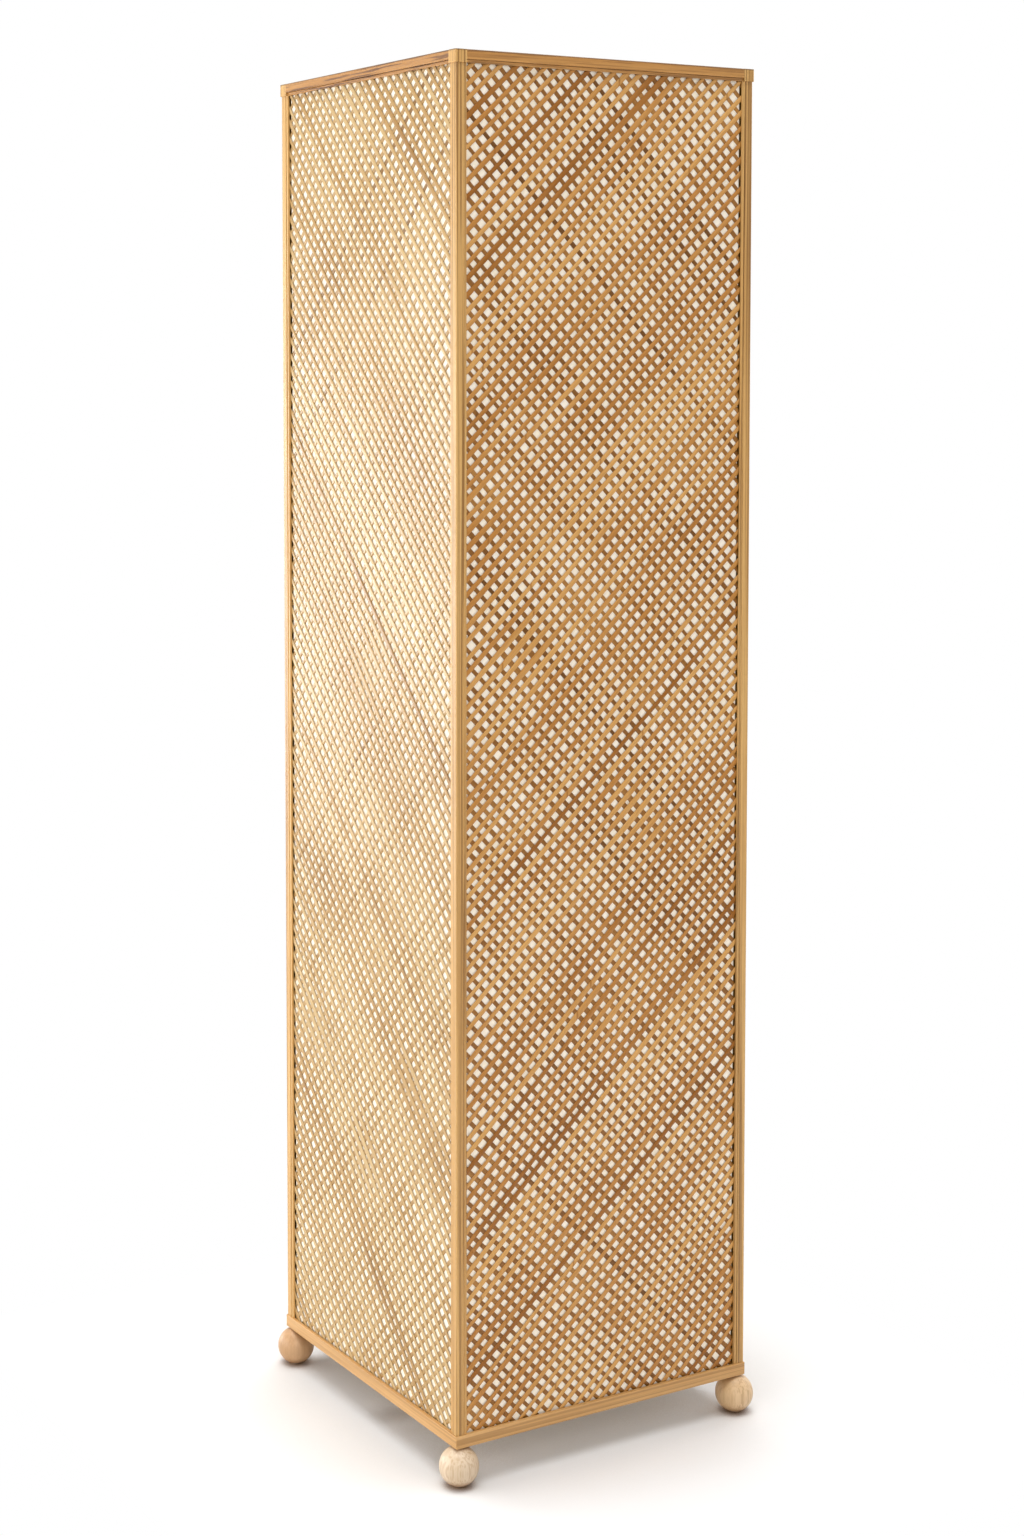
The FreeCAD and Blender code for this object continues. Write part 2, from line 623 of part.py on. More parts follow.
def make_bulb():
    """Screw-cap bulb: end contact, insulator, metal cap and an opal globe with a flared neck."""
    turn_profile(new_body("bulb_end_contact"), [
        ("0", "bulb_low"), ("bulb_contact_radius", "bulb_low"),
        ("bulb_contact_radius", "bulb_insulator_low"), ("0", "bulb_insulator_low"),
    ])
    turn_profile(new_body("bulb_insulator"), [
        ("0", "bulb_insulator_low"), ("bulb_contact_radius", "bulb_insulator_low"),
        ("bulb_cap_radius", "bulb_cap_low"), ("0", "bulb_cap_low"),
    ])
    turn_profile(new_body("bulb_screw_cap"), [
        ("bulb_cap_radius - bulb_cap_wall", "bulb_cap_low"), ("bulb_cap_radius", "bulb_cap_low"),
        ("bulb_cap_radius", "bulb_cap_top"), ("bulb_cap_radius - bulb_cap_wall", "bulb_cap_top"),
    ])
    joint_x = "bulb_flare_reach * bulb_joint_share"
    joint_z = "bulb_middle - (bulb_middle - bulb_flare_low) * bulb_joint_share"
    inner_share = "(bulb_radius - bulb_glass_thick) / (bulb_radius + bulb_flare_radius)"
    inner_x = f"bulb_flare_reach * {inner_share}"
    inner_z = f"bulb_middle - (bulb_middle - bulb_flare_low) * {inner_share}"
    inner_neck = "bulb_neck_radius - bulb_glass_thick"
    turn_profile(new_body("bulb_globe"), [
        (inner_neck, "bulb_cap_low"), ("bulb_neck_radius", "bulb_cap_low"),
        ("bulb_neck_radius", "bulb_flare_low", "bulb_flare_reach", "bulb_flare_low", -1),
        (joint_x, joint_z, "0", "bulb_middle", 1), ("0", "bulb_middle + bulb_radius"),
        ("0", "bulb_middle + bulb_radius - bulb_glass_thick", "0", "bulb_middle", -1),
        (inner_x, inner_z, "bulb_flare_reach", "bulb_flare_low", 1), (inner_neck, "bulb_flare_low"),
    ])


for turns, (corner, hands) in enumerate(CORNERS.items()):
    make_post(f"post_{corner}", turns)
    make_corner_block(f"corner_block_{corner}", turns)
    make_foot(f"foot_{corner}", *hands)
for turns, side in enumerate(SIDES):
    faces_front = turns % 2 == 0
    make_top_rail(f"top_rail_{side}", turns)
    make_bottom_rail(f"bottom_rail_{side}", turns, carries_bar=not faces_front)
    make_side_bead(f"{side}_bead_left", turns, "1")
    make_side_bead(f"{side}_bead_right", turns, "-1")
    make_top_bead(f"{side}_bead_top", turns)
    panel_kind = "front" if faces_front else "side"
    make_slats(f"{side}_outer_slats", turns, "bead_back", f"{panel_kind}_outer_angle")
    make_slats(f"{side}_inner_slats", turns, "inner_slat_front", f"{panel_kind}_inner_angle")
    make_liner(f"{side}_liner", turns)
make_corner_pins("foot_pads", "pad_radius", "0", "pad_thick")
make_corner_pins("foot_screws", "foot_screw_radius",
                 "foot_height - foot_screw_in_foot", "rail_top + foot_screw_in_post")
make_ring_dowels()
make_lampholder_bar()
make_bar_screws()
make_inlet()
make_lampholder()
make_bulb()

doc.recompute()
kinds = ("PartDesign::Body", "Part::Feature")
subparts = [item for item in doc.Objects if item.TypeId in kinds and item.getParentGeoFeatureGroup() is None]
failed = [item.Label for item in doc.Objects if {"Invalid", "Error"} & set(item.State)]
failed += [item.Label for item in subparts if item.Shape.isNull() or not item.Shape.isValid()]
if failed:
    raise RuntimeError(f"failed objects: {failed}")

os.makedirs("parts", exist_ok=True)
for item in subparts:
    item.Shape.exportStep(f"parts/{item.Label}.step")
print(len(subparts), "sub-parts", sum(len(item.Shape.Solids) for item in subparts), "solids")
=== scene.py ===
import math
import random
from collections import namedtuple

import bmesh
import bpy
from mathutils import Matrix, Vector


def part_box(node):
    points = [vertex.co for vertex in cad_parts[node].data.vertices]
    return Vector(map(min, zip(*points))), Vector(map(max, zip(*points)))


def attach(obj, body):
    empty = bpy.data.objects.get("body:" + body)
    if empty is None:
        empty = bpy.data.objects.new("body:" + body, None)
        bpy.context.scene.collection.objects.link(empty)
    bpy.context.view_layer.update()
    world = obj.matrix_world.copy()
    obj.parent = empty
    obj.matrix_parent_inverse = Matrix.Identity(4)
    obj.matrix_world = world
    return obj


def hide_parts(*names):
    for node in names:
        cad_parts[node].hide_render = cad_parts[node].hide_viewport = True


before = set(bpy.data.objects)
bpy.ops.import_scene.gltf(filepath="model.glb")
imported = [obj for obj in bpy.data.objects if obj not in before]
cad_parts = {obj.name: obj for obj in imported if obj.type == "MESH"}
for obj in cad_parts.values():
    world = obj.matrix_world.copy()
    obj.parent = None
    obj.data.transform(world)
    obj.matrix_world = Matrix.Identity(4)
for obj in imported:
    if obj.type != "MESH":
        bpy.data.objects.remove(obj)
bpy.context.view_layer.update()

MM = 0.001
SIDES = ("front", "right", "back", "left")
CORNERS = ("front_left", "front_right", "back_right", "back_left")

# Camera, fitted to the photographed corners of a square frame
CAMERA_PLACE = (-1201.5 * MM, -1847.0 * MM, 950.4 * MM)
CAMERA_YAW = 29.832
CAMERA_PITCH = -3.691
CAMERA_ROLL = 0.154
CAMERA_LENS = 57.107
CAMERA_SENSOR = 36
CAMERA_SHIFTS = (0.09, -0.165)
CAMERA_REACH = 100


def low(node):
    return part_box(node)[0]


def high(node):
    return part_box(node)[1]


def make_camera():
    data = bpy.data.cameras.new("camera")
    data.lens = CAMERA_LENS
    data.sensor_width = CAMERA_SENSOR
    data.shift_x, data.shift_y = CAMERA_SHIFTS
    data.clip_end = CAMERA_REACH
    camera = bpy.data.objects.new("camera", data)
    camera.location = CAMERA_PLACE
    camera.rotation_euler = [math.radians(angle) for angle in (90 + CAMERA_PITCH, CAMERA_ROLL, -CAMERA_YAW)]
    bpy.context.scene.collection.objects.link(camera)
    bpy.context.scene.camera = camera


# Materials

NEARNESS_SAMPLES = 8


class Shader:
    """A material's node tree, with short calls for the nodes that the finishes use."""

    def __init__(self, name):
        self.material = bpy.data.materials.new(name)
        self.material.use_nodes = True
        self.tree = self.material.node_tree
        self.surface = self.tree.nodes["Principled BSDF"]

    def node(self, kind, settings=None, **inputs):
        made = self.tree.nodes.new(kind)
        for key, setting in (settings or {}).items():
            setattr(made, key, setting)
        for key, given in inputs.items():
            self.put(made.inputs[key.replace("_", " ")], given)
        return made

    def put(self, socket, given):
        if isinstance(given, bpy.types.NodeSocket):
            self.tree.links.new(given, socket)
        else:
            socket.default_value = given

    def math(self, operation, first, second=0.0):
        made = self.node("ShaderNodeMath", {"operation": operation})
        self.put(made.inputs[0], first)
        self.put(made.inputs[1], second)
        return made.outputs[0]

    def noise(self, vector, scale, detail=3.0, roughness=0.55):
        made = self.node("ShaderNodeTexNoise", None, Scale=scale, Detail=detail, Roughness=roughness)
        self.put(made.inputs["Vector"], vector)
        return made.outputs["Fac"]

    def stretched(self, vector, scale):
        made = self.node("ShaderNodeMapping", None, Scale=scale)
        self.put(made.inputs["Vector"], vector)
        return made.outputs["Vector"]

    def split(self, vector):
        return self.node("ShaderNodeSeparateXYZ", None, Vector=vector).outputs

    def attribute(self, name):
        return self.node("ShaderNodeAttribute", {"attribute_name": name}).outputs["Vector"]

    def ramp(self, share, low_share, high_share, low_value=0.0, high_value=1.0):
        made = self.node("ShaderNodeMapRange", {"interpolation_type": "SMOOTHSTEP"})
        for socket, given in zip(made.inputs, (share, low_share, high_share, low_value, high_value)):
            self.put(socket, given)
        return made.outputs["Result"]

    def mix(self, share, first, second):
        made = self.node("ShaderNodeMix", {"data_type": "RGBA"})
        self.put(made.inputs["Factor"], share)
        self.put(made.inputs["A"], first)
        self.put(made.inputs["B"], second)
        return made.outputs["Result"]

    def bump(self, height, distance):
        made = self.node("ShaderNodeBump", None, Distance=distance, Strength=1.0)
        self.put(made.inputs["Height"], height)
        self.put(self.surface.inputs["Normal"], made.outputs["Normal"])

    def set(self, **inputs):
        for key, given in inputs.items():
            self.put(self.surface.inputs[key.replace("_", " ")], given)

    def place(self):
        return self.node("ShaderNodeTexCoord").outputs["Object"]

    def nearness(self, reach):
        """How much of the view outwards is closed off within the reach, from 0 in the open to 1."""
        near = self.node("ShaderNodeAmbientOcclusion", {"samples": NEARNESS_SAMPLES}, Distance=reach)
        return self.math("SUBTRACT", 1.0, near.outputs["AO"])


def linear(red, green, blue):
    """A colour written in display values from 0 to 255."""
    def channel(value):
        share = value / 255
        return share / 12.92 if share <= 0.04045 else ((share + 0.055) / 1.055) ** 2.4
    return (channel(red), channel(green), channel(blue), 1.0)


# woods in pale, middle and dark tones
POST_WOOD = (linear(222, 177, 108), linear(198, 149, 82), linear(126, 82, 26))
LEVEL_WOOD = (linear(216, 169, 108), linear(205, 156, 93), linear(144, 98, 44))
TOP_WOOD = (linear(197, 143, 76), linear(178, 123, 58), linear(104, 62, 16))
INNER_WOOD = (linear(212, 178, 132), linear(200, 162, 114), linear(160, 118, 74))
# the balls take tones of their own: the front one palest, the back left one warmest and darkest
PALE_BALL = (linear(223, 202, 174), linear(207, 182, 149), linear(172, 128, 84))
USUAL_BALL = (linear(227, 195, 153), linear(211, 176, 130), linear(166, 120, 76))
WARM_BALL = (linear(206, 165, 122), linear(190, 148, 104), linear(150, 104, 62))
BALL_WOODS = dict(zip(CORNERS, (PALE_BALL, USUAL_BALL, USUAL_BALL, WARM_BALL)))
# painted shade: the brown that darkens seams, gaps and the top edge, and the brown that shades the balls
PAINTED_SHADE_BROWN = linear(74, 48, 10)
BALL_SHADE = linear(142, 94, 50)
# how far the painted shade of a seam reaches, and how deep the painted shade runs along the edge under the
# top
WOOD_SHADE_REACH = 2.5 * MM
BALL_SHADE_REACH = 30 * MM
RIM_SHADE_DEPTH = 1.8 * MM
WOOD_RELIEF = 0.12 * MM


def wood(name, along, tones, streaks=1.0, fibres=0.30, lines=(420.0, 5.0),
         painted_shade=(WOOD_SHADE_REACH, PAINTED_SHADE_BROWN), rim=None):
    """Straight-grained wood. The grain runs along the axis with the given index. Its dark streaks take the
    given strength and scales across and along the grain. Painted shade browns it where other pieces close it
    in, and along the edge just under the height of the rim."""
    shader = Shader(name)
    place = shader.place()

    def along_grain(across_scale, along_scale):
        scale = [across_scale] * 3
        scale[along] = along_scale
        return shader.stretched(place, scale)

    pale, middle, dark = tones
    broad = shader.noise(along_grain(70.0, 2.2), 1.0, 4.0)
    fibre = shader.noise(along_grain(900.0, 9.0), 1.0, 3.0, 0.7)
    streak = shader.noise(along_grain(*lines), 1.0, 2.0, 0.4)
    where = shader.noise(along_grain(42.0, 1.3), 1.0, 2.0)
    colour = shader.mix(shader.ramp(broad, 0.32, 0.68), pale, middle)
    mask = shader.math("MULTIPLY", shader.ramp(streak, 0.49, 0.60), shader.ramp(where, 0.36, 0.60, 0.25, 1.0))
    colour = shader.mix(shader.math("MULTIPLY", mask, 0.62 * streaks), colour, dark)
    colour = shader.mix(shader.ramp(fibre, 0.35, 0.72, 0.0, fibres), colour, dark)
    # painted shade, browner where other pieces close the wood in
    shade_reach, shade_tone = painted_shade
    colour = shader.mix(shader.ramp(shader.nearness(shade_reach), 0.45, 1.0, 0.0, 0.85), colour, shade_tone)
    # painted shade along the upper edge, just under the height of the rim
    if rim is not None:
        height = shader.split(place)[2]
        colour = shader.mix(shader.ramp(height, rim - RIM_SHADE_DEPTH, rim, 0.0, 0.85), colour, shade_tone)
    shader.set(Base_Color=colour, Roughness=shader.ramp(fibre, 0.2, 0.8, 0.32, 0.48))
    shader.bump(fibre, WOOD_RELIEF)
    return shader.material


# pale, middle and dark tones, and how much painted shade browns the slats where they lie close
# the inner layers take darker tones, a painted shade under the outer slats, and the side panels paler ones, a
# painted sheen
BAMBOO = {
    ("front", "outer"): (linear(216, 164, 94), linear(186, 127, 58), linear(148, 90, 20), 0.9),
    ("front", "inner"): (linear(176, 124, 60), linear(142, 92, 34), linear(108, 66, 14), 0.9),
    ("side", "outer"): (linear(201, 171, 120), linear(184, 147, 92), linear(155, 114, 60), 0.6),
    ("side", "inner"): (linear(191, 157, 106), linear(170, 132, 77), linear(137, 99, 48), 0.6),
}
BAMBOO_SHADE_REACH = 2.5 * MM
BAMBOO_RELIEF = 0.10 * MM
NODE_HALF_SHARE = 0.006


def bamboo(name, pale, middle, dark, shade_share):
    """Split bamboo. Each slat brings its own tone, and its fibres and nodes follow its length. Painted shade
    browns it where it lies close under other pieces.
    """
    shader = Shader(name)
    slat = shader.attribute("slat_place")
    tone = shader.split(shader.attribute("slat_tone"))
    fibre = shader.noise(shader.stretched(slat, (14.0, 2600.0, 1.0)), 1.0, 3.0, 0.7)
    drift = shader.noise(shader.stretched(slat, (9.0, 60.0, 1.0)), 1.0, 2.0)
    patch = shader.noise(shader.place(), 7.0, 2.0)
    depth = shader.math("ADD", tone[0], shader.ramp(drift, 0.3, 0.7, -0.16, 0.16))
    depth = shader.math("ADD", depth, shader.ramp(patch, 0.35, 0.65, -0.14, 0.14))
    colour = shader.mix(shader.ramp(depth, 0.0, 0.55), pale, middle)
    colour = shader.mix(shader.ramp(depth, 0.5, 1.0), colour, dark)
    colour = shader.mix(shader.ramp(fibre, 0.38, 0.75, 0.0, 0.4), colour, dark)
    from_node = shader.math("PINGPONG", tone[1], 0.5)
    colour = shader.mix(shader.ramp(from_node, 0.0, NODE_HALF_SHARE, 0.7, 0.0), colour, dark)
    # painted shade where the slats lie close under other slats and the beads
    near = shader.nearness(BAMBOO_SHADE_REACH)
    colour = shader.mix(shader.ramp(near, 0.15, 0.85, 0.0, shade_share), colour, PAINTED_SHADE_BROWN)
    shader.set(
        Base_Color=colour, Roughness=shader.ramp(fibre, 0.2, 0.8, 0.28, 0.44), Specular_IOR_Level=0.0,
        Coat_Weight=1.0, Coat_IOR=1.38, Coat_Roughness=0.22)
    shader.bump(fibre, BAMBOO_RELIEF)
    return shader.material


# the brown painted shade where the paper runs in behind the beads: how far it reaches and where it is full
BEAD_SHADE_REACH = 1.6 * MM
BEAD_SHADE_FULL = 0.8 * MM
PAPER_RELIEF = 0.15 * MM


def paper():
    """White fibrous paper, with painted shade along its upright edges where it runs in behind the beads."""
    shader = Shader("liner_paper")
    place = shader.place()
    cloud = shader.noise(place, 45.0, 4.0)
    threads = shader.noise(shader.stretched(place, (260.0, 260.0, 60.0)), 1.0, 4.0, 0.75)
    colour = shader.mix(shader.ramp(cloud, 0.3, 0.7), linear(254, 243, 226), linear(251, 237, 214))
    colour = shader.mix(shader.ramp(threads, 0.62, 0.74, 0.0, 0.35), colour, linear(255, 252, 245))
    spots = shader.split(place)
    across = shader.math("MINIMUM", shader.math("ABSOLUTE", spots[0]), shader.math("ABSOLUTE", spots[1]))
    edge = -high("front_bead_left").x
    # painted shade along the upright edges, next to the beads
    colour = shader.mix(shader.ramp(across, edge - BEAD_SHADE_REACH, edge - BEAD_SHADE_FULL), colour, PAINTED_SHADE_BROWN)
    shader.set(Base_Color=colour, Roughness=0.85, Specular_IOR_Level=0.0)
    shader.bump(threads, PAPER_RELIEF)
    return shader.material


FINE_RELIEF = 0.05 * MM
FELT_RELIEF = 0.4 * MM


def plain_finish(name, first, second, scale, roughness, relief=FINE_RELIEF, **inputs):
    """A finish whose tone drifts a little, for the pieces inside."""
    shader = Shader(name)
    place = shader.place()
    drift = shader.noise(place, scale, 4.0)
    fine = shader.noise(place, scale * 12, 2.0)
    shader.set(
        Base_Color=shader.mix(shader.ramp(drift, 0.3, 0.7), first, second),
        Roughness=shader.ramp(fine, 0.2, 0.8, roughness * 0.8, roughness * 1.2), **inputs)
    shader.bump(fine, relief)
    return shader.material


# Meshes

def add_piece(name, bm, material, smooth_angle):
    for face in bm.faces:
        face.smooth = True
    for edge in bm.edges:
        edge.smooth = edge.calc_face_angle(0.0) < math.radians(smooth_angle)
    mesh = bpy.data.meshes.new(name)
    bm.to_mesh(mesh)
    bm.free()
    mesh.materials.append(material)
    piece = bpy.data.objects.new(name, mesh)
    bpy.context.scene.collection.objects.link(piece)
    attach(piece, "lamp")
    return piece


def turned(profile, middle, segments):
    """A closed lathe form about an upright axis. The profile is (radius, height) pairs from the foot up."""
    bm = bmesh.new()
    rings = []
    for radius, height in profile:
        if radius == 0:
            rings.append([bm.verts.new((middle[0], middle[1], height))])
            continue
        rings.append([
            bm.verts.new((
                middle[0] + radius * math.cos(math.tau * step / segments),
                middle[1] + radius * math.sin(math.tau * step / segments), height))
            for step in range(segments)
        ])
    for lower, upper in zip(rings, rings[1:]):
        for step in range(segments):
            following = (step + 1) % segments
            corners = [
                lower[step % len(lower)], lower[following % len(lower)],
                upper[following % len(upper)], upper[step % len(upper)],
            ]
            corners = [corner for index, corner in enumerate(corners) if corner not in corners[:index]]
            if len(corners) > 2:
                bm.faces.new(corners)
    bmesh.ops.recalc_face_normals(bm, faces=bm.faces)
    return bm


def arc(middle_x, middle_y, radius, first, last, steps):
    """Points on a circle, from one angle to the other in degrees."""
    return [
        (middle_x + radius * math.cos(math.radians(first + (last - first) * step / steps)),
         middle_y + radius * math.sin(math.radians(first + (last - first) * step / steps)))
        for step in range(steps + 1)
    ]


# Lattice panels

SLAT_WIDTH = 3.9 * MM
SLAT_PITCH = 9.3 * MM
NOTCH_GAP = 0.2 * MM
# across the slat, as shares of half its width and of its thickness: a crowned front and a flat back
SLAT_SECTION_SHARES = (
    (-1.0, 0.0), (-1.0, 0.35), (-0.82, 0.68), (-0.45, 0.92), (0.0, 1.0),
    (0.45, 0.92), (0.82, 0.68), (1.0, 0.35), (1.0, 0.0),
)
SLAT_STEPS = 44
SLAT_SMOOTH_ANGLE = 38
NODE_SPACING = 0.34

# what a layer's slats have in common: their lean in degrees, their width share, their usual tone, how far it
# drifts from slat to slat, and the share and tones of the dark ones
Layer = namedtuple("Layer", "angle width_share tone drift dark_share dark_tones")
# the darker usual tone of the inner layer in front is painted shade, and the paler dark slats of the side
# panels are painted sheen
LAYERS = {
    ("front", "outer"): Layer(42.5, 1.05, 0.30, 0.12, 0.12, (0.66, 1.0)),
    ("front", "inner"): Layer(-45.5, 0.97, 0.42, 0.12, 0.05, (0.70, 1.0)),
    ("side", "outer"): Layer(-46.5, 1.08, 0.28, 0.20, 0.05, (0.55, 0.85)),
    ("side", "inner"): Layer(44.5, 1.02, 0.28, 0.16, 0.03, (0.55, 0.85)),
}
# what one slat has of its own
Slat = namedtuple("Slat", "middle width lean bow bow_phase wiggle tone shift seed")
PLACE_JITTER_SHARE = 0.05
WIDTH_SHARES = (0.85, 1.09)
LEAN_JITTER_SHARE = 0.007
# the slats fan out and draw together: the change of lean as a share, and its wave's turn from slat to slat
FAN_SHARE, FAN_TURN = 0.03, 0.21
# each slat bows in a long wave and wiggles in a short one: their heights in mm and lengths per radian
BOW_HEIGHTS, BOW_LENGTH = (0.15, 0.60), 90 * MM
WIGGLE_HEIGHTS, WIGGLE_LENGTH = (0.08, 0.30), 16 * MM
# waves of the width along a slat: the width share and the length per radian
BROAD_RIPPLE = (0.05, 50 * MM)
FINE_RIPPLE = (0.04, 12 * MM)
# bands of tone across the slats, as the share of the drift and the turn from slat to slat
TONE_BANDS = ((1.0, 0.31), (0.8, 0.73))
TONE_SCATTER = 0.08
USUAL_TONES = (0.02, 0.75)
# spots on each side where the slats are broader: how many, their reach and the width share they add
SWELLS, SWELL_REACH, SWELL_SHARE = 20, (12.0 * MM, 34.0 * MM), (0.14, 0.38)
# where each slat starts in the noise of its finish
SHIFT_REACH, SEED_REACH = 40, 60
CHANCE_SEED = 7
CUT_TOLERANCE = 1e-7


def panel_frame(side, layer):
    """The panel's half width, low and high edges and front and back depth, seen square to the side."""
    node = f"{side}_{layer}_slats"
    lowest, highest = low(node), high(node)
    across = 0 if side in ("front", "back") else 1
    depth = 1 - across
    near, far = sorted((abs(lowest[depth]), abs(highest[depth])))
    return highest[across], lowest.z, highest.z, far, near


def turned_out(side, x, out, z):
    """A place on a side, given as seen from the front of that side, in the row frame."""
    turn = SIDES.index(side) * math.pi / 2
    y = -out
    return (x * math.cos(turn) - y * math.sin(turn), x * math.sin(turn) + y * math.cos(turn), z)


def scatter_swells(side, chance):
    half_width, lowest, highest, _, _ = panel_frame(side, "outer")
    return [
        (chance.uniform(-half_width, half_width), chance.uniform(lowest, highest),
         chance.uniform(*SWELL_REACH), chance.uniform(*SWELL_SHARE))
        for _ in range(SWELLS)
    ]


def swelling(swells, x, z):
    """The width share that the spots add at a place on the panel."""
    return sum(
        share * math.exp(-((x - middle) ** 2 + (z - height) ** 2) / reach ** 2)
        for middle, height, reach, share in swells)


def wave(height, length, along, phase):
    return height * math.sin(phase + along / length)


def draw_slat(index, look, start, slope, phases, chance):
    """One slat of a layer, with its own place, width, lean, bow and tone, drawn in this order."""
    fan_phase, *band_phases = phases
    pitch = SLAT_PITCH * math.hypot(1, slope)
    middle = start + (index + chance.uniform(-PLACE_JITTER_SHARE, PLACE_JITTER_SHARE)) * pitch
    width = SLAT_WIDTH * look.width_share * chance.uniform(*WIDTH_SHARES)
    fan = FAN_SHARE * math.sin(index * FAN_TURN + fan_phase)
    lean = slope * (1 + fan + chance.uniform(-LEAN_JITTER_SHARE, LEAN_JITTER_SHARE))
    bow = chance.uniform(*BOW_HEIGHTS) * MM
    bow_phase = chance.uniform(0, math.tau)
    wiggle = chance.uniform(*WIGGLE_HEIGHTS) * MM
    is_dark = chance.random() < look.dark_share
    band = look.drift * sum(
        share * math.sin(index * turn + phase) for (share, turn), phase in zip(TONE_BANDS, band_phases))
    palest, darkest = USUAL_TONES
    usual = min(darkest, max(palest, chance.gauss(look.tone, TONE_SCATTER) + band))
    tone = chance.uniform(*look.dark_tones) if is_dark else usual
    shift = chance.uniform(0, SHIFT_REACH)
    seed = chance.uniform(0, SEED_REACH)
    return Slat(middle, width, lean, bow, bow_phase, wiggle, tone, shift, seed)


def panel_notch():
    """Where the corner blocks narrow the panel: its half width there, and the height that this starts at."""
    block = "corner_block_front_left"
    return -high(block).x - NOTCH_GAP, low(block).z - NOTCH_GAP


def slat_ends(slat, stretch, half_width, notch):
    """The left and right ends of a slat. One that runs up beside a corner block ends short of it."""
    notch_half, notch_low = notch
    top_left = slat.middle - slat.lean * half_width + slat.width * stretch > notch_low
    top_right = slat.middle + slat.lean * half_width + slat.width * stretch > notch_low
    return -(notch_half if top_left else half_width), notch_half if top_right else half_width


def add_slat(bm, attributes, slat, stretch, ends, depths, swells):
    """A closed bar with the slat's section, and with its place and tone for the finish on every point."""
    slat_place, slat_tone = attributes
    left, right = ends
    front, back = depths
    rings = []
    for step in range(SLAT_STEPS + 1):
        x = left + (right - left) * step / SLAT_STEPS
        along = x * stretch
        centre = slat.middle + slat.lean * x + wave(slat.bow, BOW_LENGTH, along, slat.bow_phase)
        centre += wave(slat.wiggle, WIGGLE_LENGTH, along, slat.seed)
        ripple = wave(*BROAD_RIPPLE, along, slat.seed) + wave(*FINE_RIPPLE, along, slat.shift)
        spread = slat.width * (1 + ripple + swelling(swells, x, centre))
        ring = []
        for across, depth in SLAT_SECTION_SHARES:
            vert = bm.verts.new((x, back + depth * (front - back), centre + across * spread / 2 * stretch))
            vert[slat_place] = (along + slat.shift, across * spread / 2 + slat.seed, slat.seed)
            vert[slat_tone] = (slat.tone, (along + slat.shift) / NODE_SPACING, slat.seed)
            ring.append(vert)
        rings.append(ring)
    for first, second in zip(rings, rings[1:]):
        for j in range(len(first)):
            k = (j + 1) % len(first)
            bm.faces.new((first[j], first[k], second[k], second[j]))
    bm.faces.new(rings[0])
    bm.faces.new(list(reversed(rings[-1])))


def cut_level(bm, height, up):
    """Cuts all slats level at the height, drops what lies beyond and closes their ends."""
    cut = bmesh.ops.bisect_plane(
        bm, geom=bm.verts[:] + bm.edges[:] + bm.faces[:], dist=CUT_TOLERANCE,
        plane_co=(0, 0, height), plane_no=(0, 0, up), clear_outer=True)
    rim = [item for item in cut["geom_cut"] if isinstance(item, bmesh.types.BMEdge)]
    bmesh.ops.edgeloop_fill(bm, edges=rim)


def make_lattice_layer(side, kind, layer, material, swells, chance):
    """One layer of slats across a whole side, cut to its panel."""
    half_width, lowest, highest, *depths = panel_frame(side, layer)
    look = LAYERS[kind, layer]
    slope = math.tan(math.radians(look.angle))
    stretch = math.hypot(1, slope)
    rise = abs(slope) * half_width
    start = lowest - rise - SLAT_WIDTH * stretch / 2
    count = math.ceil((highest + rise - start) / (SLAT_PITCH * stretch)) + 1
    notch = panel_notch()
    *bands, fan = [chance.uniform(0, math.tau) for _ in range(3)]
    bm = bmesh.new()
    attributes = [bm.verts.layers.float_vector.new(name) for name in ("slat_place", "slat_tone")]
    for index in range(count):
        slat = draw_slat(index, look, start, slope, (fan, *bands), chance)
        ends = slat_ends(slat, stretch, half_width, notch)
        add_slat(bm, attributes, slat, stretch, ends, depths, swells)
    cut_level(bm, lowest, -1)
    cut_level(bm, highest, 1)
    for vert in bm.verts:
        vert.co = turned_out(side, *vert.co)
    bmesh.ops.recalc_face_normals(bm, faces=bm.faces)
    piece = add_piece(f"{side}_{layer}_lattice", bm, material, SLAT_SMOOTH_ANGLE)
    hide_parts(f"{side}_{layer}_slats")


def make_lattices():
    chance = random.Random(CHANCE_SEED)
    finishes = {key: bamboo("_".join(key) + "_bamboo", *tones) for key, tones in BAMBOO.items()}
    for side in SIDES:
        swells = scatter_swells(side, chance)
        # the left and right panels take the paler tones of a painted sheen
        kind = "front" if side in ("front", "back") else "side"
        for layer in ("outer", "inner"):
            make_lattice_layer(side, kind, layer, finishes[kind, layer], swells, chance)


# Feet

FOOT_NECK_RADIUS = 4.5 * MM
BALL_SEGMENTS = 96
BALL_STEPS = 40
BALL_SMOOTH_ANGLE = 40


def make_foot(corner, material):
    """A turned ball, flat below and with a short neck above."""
    node = f"foot_{corner}"
    lowest, highest = low(node), high(node)
    middle = ((lowest.x + highest.x) / 2, (lowest.y + highest.y) / 2)
    radius = (highest.x - lowest.x) / 2
    flat = math.degrees(math.asin((lowest.z - radius) / radius))
    shoulder = math.degrees(math.acos(FOOT_NECK_RADIUS / radius))
    profile = [(0, lowest.z)] + arc(0, radius, radius, flat, shoulder, BALL_STEPS)
    profile += [(FOOT_NECK_RADIUS, highest.z), (0, highest.z)]
    form = turned(profile, middle, BALL_SEGMENTS)
    piece = add_piece(f"ball_{corner}", form, material, BALL_SMOOTH_ANGLE)
    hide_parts(node)


